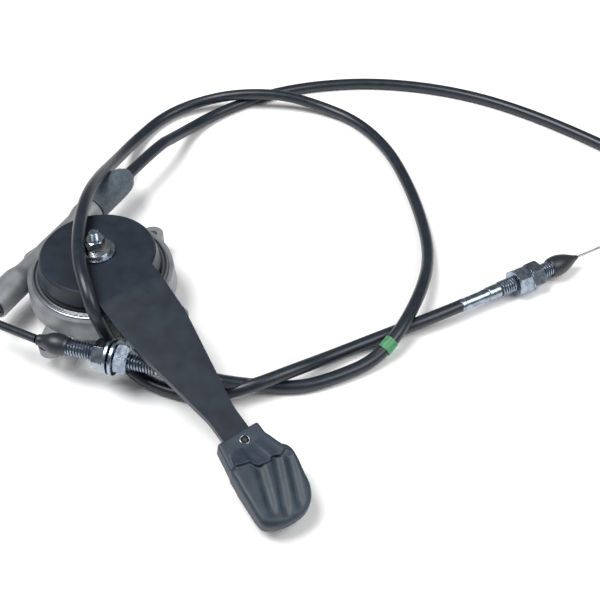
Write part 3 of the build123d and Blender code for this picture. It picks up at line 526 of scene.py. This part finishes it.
# %% Where the threaded ends are
right_origin, right_way = Vector(ROUTE_B[0]), (Vector(ROUTE_B[0]) - Vector(ROUTE_B[1])).normalized()
left_origin, left_way = Vector(ROUTE_B[-1]), (Vector(ROUTE_B[-1]) - Vector(ROUTE_B[-2])).normalized()
RIGHT_HUB_END = 73.3
LEFT_HUB_END = 70.0
THREAD_R = 5.0
THREAD_PITCH = 1.75     # coarser than a real M10's 1.5, so that single turns show
ROOT_SHADE_DEPTH = 0.5      # below the crests, the thread is coloured dark as painted shade
NUT_ACROSS = 16.0
NUT_BORE = 4.7

# %% Hubs
place_piece(lathe("ferrule_right", right_origin, right_way,
                  [(1.2, 0), (3.9, 0), (4.15, 0.8), (4.15, 3.2), (3.95, 3.6), (3.95, 16.2), (4.15, 16.8),
                   (4.15, 20.6), (1.2, 20.6)]), "ferrule_b_right")
place_piece(lathe("barrel_right", right_origin, right_way,
                  [(1.2, 20.6), (4.4, 20.6), (4.6, 21.0), (4.6, 28.9), (4.3, 29.3), (1.2, 29.3)]), "hub_b_right")
thread_right = place_piece(threaded("thread_right", right_origin, right_way, 29.3, RIGHT_HUB_END - 29.3,
                                    THREAD_R, THREAD_PITCH, 1.2), "hub_b_right")
place_piece(lathe("ferrule_left", left_origin, left_way,
                  [(1.2, 0), (3.95, 0), (4.15, 0.8), (4.15, 3.0), (3.95, 3.4), (3.95, 11), (1.2, 11)]),
            "ferrule_b_left")
place_piece(lathe("barrel_left", left_origin, left_way,
                  [(1.2, 11), (4.6, 11), (4.6, 12.2), (1.2, 12.2)], 0.15), "hub_b_left")
thread_left = place_piece(threaded("thread_left", left_origin, left_way, 12, LEFT_HUB_END - 12,
                                   THREAD_R, THREAD_PITCH, 1.2), "hub_b_left")
paint_root_shade(thread_right, right_origin, right_way, THREAD_R - ROOT_SHADE_DEPTH)
paint_root_shade(thread_left, left_origin, left_way, THREAD_R - ROOT_SHADE_DEPTH)

# %% Nuts and washers
for name, origin, way, start, length, node, turned_by in (
        ("nut_right_back", right_origin, right_way, 41.0, 10.0, "nuts_b_right", 0.35),
        ("nut_right_front", right_origin, right_way, 51.3, 9.0, "nuts_b_right", 0.15),
        ("nut_left_back", left_origin, left_way, 28.4, 8.0, "nuts_b_left", 0.1),
        ("nut_left_front", left_origin, left_way, 42.4, 7.0, "nuts_b_left", pi / 6)):
    place_piece(hex_nut(name, origin, way, start, length, NUT_ACROSS, NUT_BORE, turned_by), node)
for name, start in (("washer_left_back", 36.6), ("washer_left_front", 39.9)):
    outline = [(5.25, start), (10.6, start), (10.6, start + 2), (5.25, start + 2)]
    place_piece(lathe(name, left_origin, left_way, outline, 0.35), "washers_b_left")

# %% [markdown]
# ## Rubber boots
# A boot is a soft hollow moulding that grips the thread with a rolled bead and tapers down to the wire.
# An outline with many points, spun round and subdivided, gives its fat, rounded look.


# %% Boots
def boot(name, origin, way, outline, node):
    """A soft moulding: the outline is spun and then subdivided."""
    piece = spun(name, origin, way, lambda number, station, angle: station, outline + [outline[0]], 32)
    soft = piece.modifiers.new("soft", "SUBSURF")
    soft.levels = soft.render_levels = 2
    return place_piece(piece, node)


boot("boot_right", right_origin, right_way,
     [(5.0, 69.4), (5.4, 69.2), (6.0, 69.8), (6.6, 71.6), (6.9, 74.4), (6.8, 77.0), (6.1, 80.4), (4.9, 84.0),
      (3.4, 87.2), (2.3, 89.4), (1.7, 91.0), (1.5, 92.1), (0.9, 92.2), (0.9, 89.6), (3.2, 80.0), (5.0, 73.7)],
     "boot_b_right")
boot("boot_left", left_origin, left_way,
     [(5.0, 66.2), (5.3, 66.0), (5.5, 66.8), (5.4, 67.6), (6.0, 69.0), (6.5, 71.4), (6.6, 74.0), (6.2, 76.6),
      (5.0, 79.2), (3.9, 81.4), (3.5, 83.4), (3.4, 85.2), (2.75, 85.5), (2.75, 82.0), (4.2, 76.0), (5.0, 70.6)],
     "boot_b_left")

# %% Which pieces hang on the loose cable
loose = [bpy.data.objects[name] for name in (
    "ferrule_right", "barrel_right", "thread_right", "nut_right_back", "nut_right_front", "boot_right",
    "ferrule_left", "barrel_left", "thread_left", "nut_left_back", "nut_left_front", "washer_left_back",
    "washer_left_front", "boot_left")]
loose += [frame["nodes"][name] for name in ("guide_tube", "wire_b_left", "nipple_b_left", "wire_b_right",
                                            "nipple_b_right", "mark_sleeve")]

# %% [markdown]
# ## Pieces with rounded edges
# Castings and pressings have no knife edges. A copy of the frame's node gets its flat faces merged, so
# that only real edges are left, and then a bevel rounds those edges by under a millimetre.


# %% Rounded copies
def rounded_copy(name, node, round_mm, angle=30.0):
    """A copy of a node, with its real edges rounded."""
    source = frame["nodes"][node]
    data = source.data.copy()
    data.name = name
    shape = bmesh.new()
    shape.from_mesh(data)
    bmesh.ops.remove_doubles(shape, verts=shape.verts, dist=0.002 * MM)
    bmesh.ops.dissolve_limit(shape, angle_limit=radians(0.6), verts=shape.verts, edges=shape.edges)
    shape.to_mesh(data)
    shape.free()
    data.shade_smooth()
    piece = bpy.data.objects.new(name, data)
    bpy.context.collection.objects.link(piece)
    edge = piece.modifiers.new("rounded edges", "BEVEL")
    edge.width = round_mm * MM
    edge.segments = 3
    edge.limit_method = "ANGLE"
    edge.angle_limit = radians(angle)
    flats = piece.modifiers.new("flat faces stay flat", "WEIGHTED_NORMAL")
    flats.mode = "FACE_AREA"
    flats.weight = 90
    print(name, "faces after merging:", len(data.polygons))
    return place_piece(piece, node)


rounded_copy("housing_casting", "housing", 0.8)
rounded_copy("lever_pressing", "lever", 0.6)
rounded_copy("duct_plug_moulding", "duct_plug", 0.4)

# %% [markdown]
# ## Friction ring and clamp stack
# The ring under the hub is turned with two shallow steps, which show as fine bright and dark lines.
# On the stud above the hub sit a wide washer, two disc springs nested in each other, and a nut.

# %% Ring and clamp stack
Z_WAY = (0, 0, 1)
place_piece(lathe("friction_ring", (0, 0, 0), Z_WAY,
                  [(14, 30.4), (41.4, 30.4), (41.4, 32.3), (40.7, 32.7), (40.5, 33.5), (39.7, 33.5), (39.5, 32.9),
                   (38.9, 32.9), (38.7, 33.5), (14, 33.5)], 0.15, 128), "friction_plate")
place_piece(lathe("clamp_washer_turned", (0, 0, 0), Z_WAY, [(3.2, 47), (11, 47), (11, 48.6), (3.2, 48.6)], 0.3),
            "clamp_washer")
for name, outline in (("disc_spring_lower", [(3.2, 49.9), (8.6, 48.6), (8.6, 49.5), (3.2, 50.8)]),
                      ("disc_spring_upper", [(3.2, 50.8), (8.6, 49.5), (8.6, 50.4), (3.2, 51.7)])):
    place_piece(lathe(name, (0, 0, 0), Z_WAY, outline, 0.2), "disc_springs")
place_piece(hex_nut("clamp_nut", (0, 0, 0), Z_WAY, 51.7, 6.0, 10.0, 2.8, 0.5), "pivot_nut")
place_piece(threaded("stud_thread", (0, 0, 0), Z_WAY, 46.6, 16.4, 3.0, 1.0, 0.0), "pivot_shaft")
place_piece(lathe("shaft_turned", (0, 0, 0), Z_WAY, [(0, 5), (5.2, 5), (6, 5.8), (6, 46.6), (0, 46.6)], 0.2),
            "pivot_shaft")

# %% [markdown]
# ## Outlet sleeve
# The conduit's end and the spigot of the housing are covered by a grey rubber sleeve. It is round, with
# two flats moulded into its upper half and a rounded shoulder where the conduit comes out.

# %% Outlet sleeve
DUCT = Vector((-45.5, 0.0, 23.0))
sleeve_rows = [(7.3, 51), (9.2, 51), (9.6, 51.6), (9.6, 66.0), (9.6, 76.0), (9.5, 80.0), (9.1, 84.6), (7.9, 88.0),
               (6.0, 90.4), (5.2, 92.0), (4.15, 92.0), (4.15, 80.4), (7.3, 80.3), (7.3, 51)]


def sleeve_radius(number, row, angle):
    """The sleeve's radius, cut back where the flats are."""
    radius, distance = row
    if radius > 7.4 and 66 < distance < 89:
        for flat_at in (0.9, 2.5):
            off = (angle - flat_at + pi) % (2 * pi) - pi
            if abs(off) < 0.75:
                radius = min(radius, 8.3 / cos(off)) if distance < 82 else radius
    return radius, distance


sleeve = spun("outlet_sleeve_moulding", DUCT, (0, 1, 0), sleeve_radius, sleeve_rows, 96)
soft = sleeve.modifiers.new("rounded edges", "BEVEL")
soft.width = 0.5 * MM
soft.segments = 3
soft.limit_method = "ANGLE"
soft.angle_limit = radians(25)
place_piece(sleeve, "outlet_sleeve")

# %% [markdown]
# ## Thumb grip
# The grip is one moulding: a square socket over the end of the lever and a broad pad for the thumb.
# The pad has three grooves along it, and a wedge with a scalloped lip rises to it from the socket.
# Its parts are made one by one, joined, and then melted into one skin by a voxel remesh, which leaves
# the small fillets that a mould has.

# %% Grip axes
lever_turn, lever_fall = radians(-25.3), radians(12.5)
LEVER_BEND = 40         # distance from the pivot where the lever starts to fall
HUB_TOP_Z = 47.0
grip_origin = Vector((LEVER_BEND * cos(lever_turn), LEVER_BEND * sin(lever_turn), HUB_TOP_Z))
grip_along = Vector((cos(lever_turn) * cos(lever_fall), sin(lever_turn) * cos(lever_fall), -sin(lever_fall)))
grip_up = Vector((cos(lever_turn) * sin(lever_fall), sin(lever_turn) * sin(lever_fall), cos(lever_fall)))
grip_across = grip_up.cross(grip_along)
GRIP_LOW_Z = 9.6        # the grip's flat underside


def on_grip(u, v, w):
    """A point along, across and above the lever's falling arm, but not below the grip's flat underside."""
    point = grip_origin + grip_along * u + grip_across * v + grip_up * w
    if point.z < GRIP_LOW_Z:
        point = point + grip_up * ((GRIP_LOW_Z - point.z) / grip_up.z)
    return point


# %% Pad
PAD_OUTLINE = [(125.5, -14.6), (127.0, 0.0), (126.0, 10.0), (127.4, 16.4), (132.2, 19.2), (139.0, 18.6),
               (146.2, 16.8), (155.8, 14.6), (162.5, 10.0), (165.6, 4.0), (166.3, -1.6), (165.8, -8.0),
               (163.9, -14.0), (160.6, -18.3), (156.0, -19.0), (150.0, -18.6), (143.0, -18.0), (133.0, -16.8)]
GROOVES = [((131.0, -1.6), (157.5, -11.2)), ((133.0, 8.2), (162.0, -5.6)), ((137.0, 14.4), (163.5, 2.6))]
PAD_TOP = 7.0
GROOVE_DEEP = 1.6
GROOVE_HALF = 4.0
RINGS = 22              # from the middle of the pad to its outline
SHOULDER = 0.84         # share of the way out where the rounded edge starts
EDGE_DROP = 3.0
PAD_LOW = -8.0


def groove_at(u, v):
    """How deep the grooves are at a point of the pad."""
    deepest = 0.0
    for start, end in GROOVES:
        way = Vector(end) - Vector(start)
        share = (Vector((u, v)) - Vector(start)).dot(way) / way.dot(way)
        near = Vector(start) + way * min(1.0, max(0.0, share))
        off = (Vector((u, v)) - near).length
        fade = min(1.0, max(0.0, 1.15 - share) / 0.3)
        deepest = max(deepest, GROOVE_DEEP * fade * cos(min(off / GROOVE_HALF, 1.0) * pi / 2) ** 2)
    return deepest


def smooth_loop(points, steps):
    """A closed smooth curve through a few points."""
    count = len(points)
    loop = []
    for number in range(count):
        before, here, after, beyond = (Vector(points[(number + k) % count]) for k in (-1, 0, 1, 2))
        for step in range(steps):
            t = step / steps
            loop.append(0.5 * ((2 * here) + (after - before) * t
                               + (2 * before - 5 * here + 4 * after - beyond) * t ** 2
                               + (3 * here - before - 3 * after + beyond) * t ** 3))
    return loop


loop = smooth_loop(PAD_OUTLINE, 6)
middle = Vector((146.0, -1.0))
points, faces = [on_grip(middle.x, middle.y, PAD_TOP - groove_at(*middle))], []
for ring in range(1, RINGS + 1):
    share = ring / RINGS
    edge = max(0.0, (share - SHOULDER) / 0.16)
    for spot in loop:
        u, v = middle + (spot - middle) * (share if share < SHOULDER else SHOULDER + 0.16 * sin(edge * pi / 2))
        crown = PAD_TOP - 0.9 * max(0.0, (u - 150.0) / 16.0) ** 2 - 1.1 * max(0.0, (146.0 - u) / 14.0)
        drop = EDGE_DROP * (1 - cos(edge * pi / 2))
        points.append(on_grip(u, v, crown - groove_at(u, v) * (1 - edge) - drop))
SIDE_HEIGHTS = (2.0, -1.0, -4.0, -7.0, PAD_LOW)
for height in SIDE_HEIGHTS:
    inset = 0.0 if height > -7 else 0.02
    for spot in loop:
        u, v = middle + (spot - middle) * (1 - inset)
        points.append(on_grip(u, v, height))
points.append(on_grip(middle.x, middle.y, PAD_LOW))
size = len(loop)
rings = RINGS + len(SIDE_HEIGHTS)
for step in range(size):
    faces.append((0, 1 + step, 1 + (step + 1) % size))
    faces.append((len(points) - 1, 1 + (rings - 1) * size + (step + 1) % size, 1 + (rings - 1) * size + step))
for ring in range(rings - 1):
    for step in range(size):
        here, after = 1 + ring * size + step, 1 + ring * size + (step + 1) % size
        faces.append((here, here + size, after + size, after))
pad = mesh_piece("thumb_grip", points, faces)


# %% Socket and lip
def block(name, low, high, flare):
    """A box in the grip's axes. Its left side flares by that much towards the far end."""
    corners = [on_grip(u, v - (flare if u == high[0] and v == low[1] else 0.0), w)
               for u in (low[0], high[0]) for v in (low[1], high[1]) for w in (low[2], high[2])]
    box_faces = [(0, 1, 3, 2), (4, 6, 7, 5), (0, 4, 5, 1), (2, 3, 7, 6), (0, 2, 6, 4), (1, 5, 7, 3)]
    piece = mesh_piece(name, corners, box_faces)
    edge = piece.modifiers.new("rounded edges", "BEVEL")
    edge.width = 1.4 * MM
    edge.segments = 3
    return piece


def ramp(name, front, back_u, back_w, front_w, low_w):
    """A closed wedge that rises from the socket to a scalloped front edge."""
    corners, wedge_faces = [], []
    for u, v in front:
        narrow = v * 0.8
        corners += [on_grip(back_u, narrow, back_w), on_grip(u, v, front_w), on_grip(u + 0.6, v, low_w),
                    on_grip(back_u, narrow, low_w)]
    for number in range(len(front) - 1):
        here, after = 4 * number, 4 * number + 4
        wedge_faces += [(here + k, here + (k + 1) % 4, after + (k + 1) % 4, after + k) for k in range(4)]
    last = 4 * (len(front) - 1)
    wedge_faces += [(0, 3, 2, 1), (last, last + 1, last + 2, last + 3)]
    return mesh_piece(name, corners, wedge_faces)


SCALLOPS = [(126.0, -12.5), (127.5, -8.5), (128.2, -5.0), (131.0, -3.9), (132.6, -2.2), (132.9, 0.6),
            (133.6, 2.8), (133.3, 4.8), (131.6, 6.4), (132.4, 8.6), (133.8, 10.4), (133.2, 12.4),
            (131.8, 14.2), (132.2, 16.2)]
socket = block("socket", (109.6, -13.0, -8.0), (136.0, 13.0, 3.4), 4.0)
lip = ramp("lip", SCALLOPS, 117.0, 3.0, 7.4, 0.0)

# %% Melt the parts into one moulding
parts = [pad, socket, lip]
depsgraph = bpy.context.evaluated_depsgraph_get()
whole = bmesh.new()
for part in parts:
    whole.from_mesh(part.evaluated_get(depsgraph).to_mesh())
whole.to_mesh(pad.data)
whole.free()
for part in parts[1:]:
    bpy.data.objects.remove(part)
melt = pad.modifiers.new("one skin", "REMESH")
melt.mode = "VOXEL"
melt.voxel_size = 0.45 * MM
melt.use_smooth_shade = True
relax = pad.modifiers.new("fillets", "SMOOTH")
relax.factor = 0.5
relax.iterations = 4
place_piece(pad, "grip")

# %% Screw in the grip
screw_at = grip_origin + grip_along * 115.2 + grip_across * 0.9
rim_piece = lathe("grip_screw_rim", screw_at, grip_up, [(2.2, 1.0), (2.8, 1.0), (2.8, 3.8), (2.2, 3.8)], 0.2)
place_piece(rim_piece, "pivot_nut", hide=False)
place_piece(hex_nut("grip_screw_head", screw_at, grip_up, 1.2, 2.3, 4.4, 1.1, 0.2), "grip_screw")

# %% [markdown]
# ## Floor, light and background
# A plain white sheet and large, soft lights: one broad key overhead on the left gives short, soft
# shadows, and a weaker fill on the right opens them. Neither lamp stands where the lever's flat faces would
# mirror it, and the room is dim, so bright metal shows dark and light bands.

# %% Floor
floor_material, tree, shader = new_material("white_paper")
shader.inputs["Base Color"].default_value = linear("#fbfbfb")
shader.inputs["Roughness"].default_value = 0.9
FLOOR_HALF, FLOOR_Z = 3000, -0.2
floor_corners = [(x * FLOOR_HALF, y * FLOOR_HALF, FLOOR_Z) for x, y in ((-1, -1), (1, -1), (1, 1), (-1, 1))]
floor = mesh_piece("floor", floor_corners, [(0, 1, 2, 3)])
floor.data.materials.append(floor_material)

# %% Light
world = bpy.data.worlds.new("soft_room")
bpy.context.scene.world = world
world.use_nodes = True
world.node_tree.nodes["Background"].inputs["Color"].default_value = linear("#ffffff")
world.node_tree.nodes["Background"].inputs["Strength"].default_value = 0.22
for name, spot, aim, size, power in (
        ("key", (-0.35, -0.3, 1.2), (0.08, 0.1, 0.0), 0.7, 19.0),
        ("fill", (0.85, 0.15, 0.95), (0.1, 0.1, 0.0), 0.7, 8.0)):
    lamp = bpy.data.lights.new(name, "AREA")
    lamp.size = size
    lamp.energy = power
    holder = bpy.data.objects.new(name, lamp)
    holder.location = spot
    holder.rotation_euler = (Vector(spot) - Vector(aim)).to_track_quat("Z", "Y").to_euler()
    bpy.context.collection.objects.link(holder)
